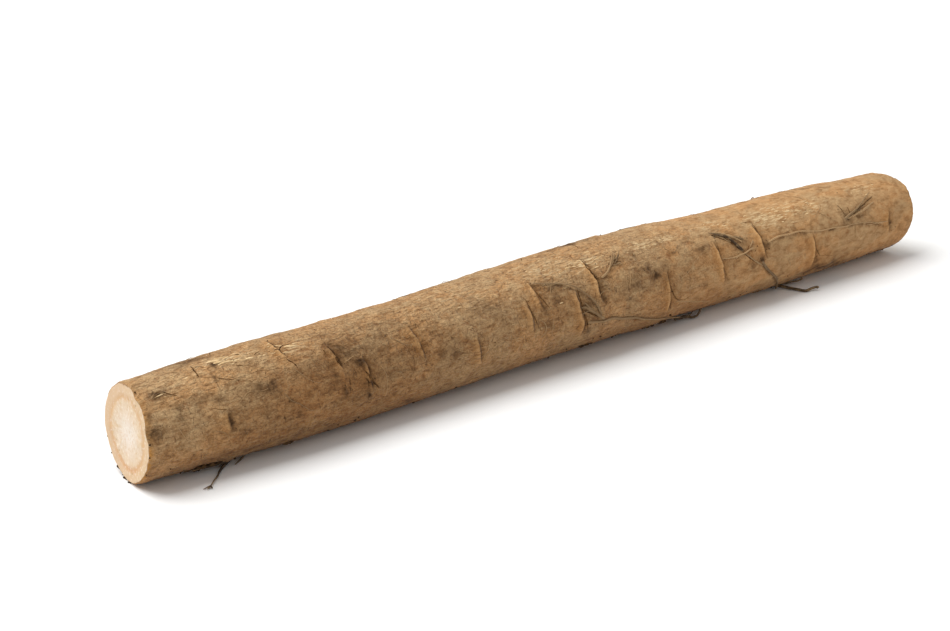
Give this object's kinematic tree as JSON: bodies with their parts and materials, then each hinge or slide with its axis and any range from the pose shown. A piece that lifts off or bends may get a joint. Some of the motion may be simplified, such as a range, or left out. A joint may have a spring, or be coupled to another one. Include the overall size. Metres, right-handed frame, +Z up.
{
  "type": "burdock root",
  "caption": "Cut length of a thick brown burdock root lying on its side, with creased bark, thin dried side roots and a pale cut face at each end.",
  "frame": {"origin": "under the middle of the root, on the surface that it lies on", "axes": "+X along the root from the near cut face to the far one, -Y towards the side that the picture shows, +Z up"},
  "size_m": [0.3039, 0.0351, 0.031],
  "materials": {
    "root": "dry matt bark, with matt cream flesh on the cut faces"
  },
  "bodies": {
    "root": {"burdock_root": "root"}
  },
  "joints": []
}
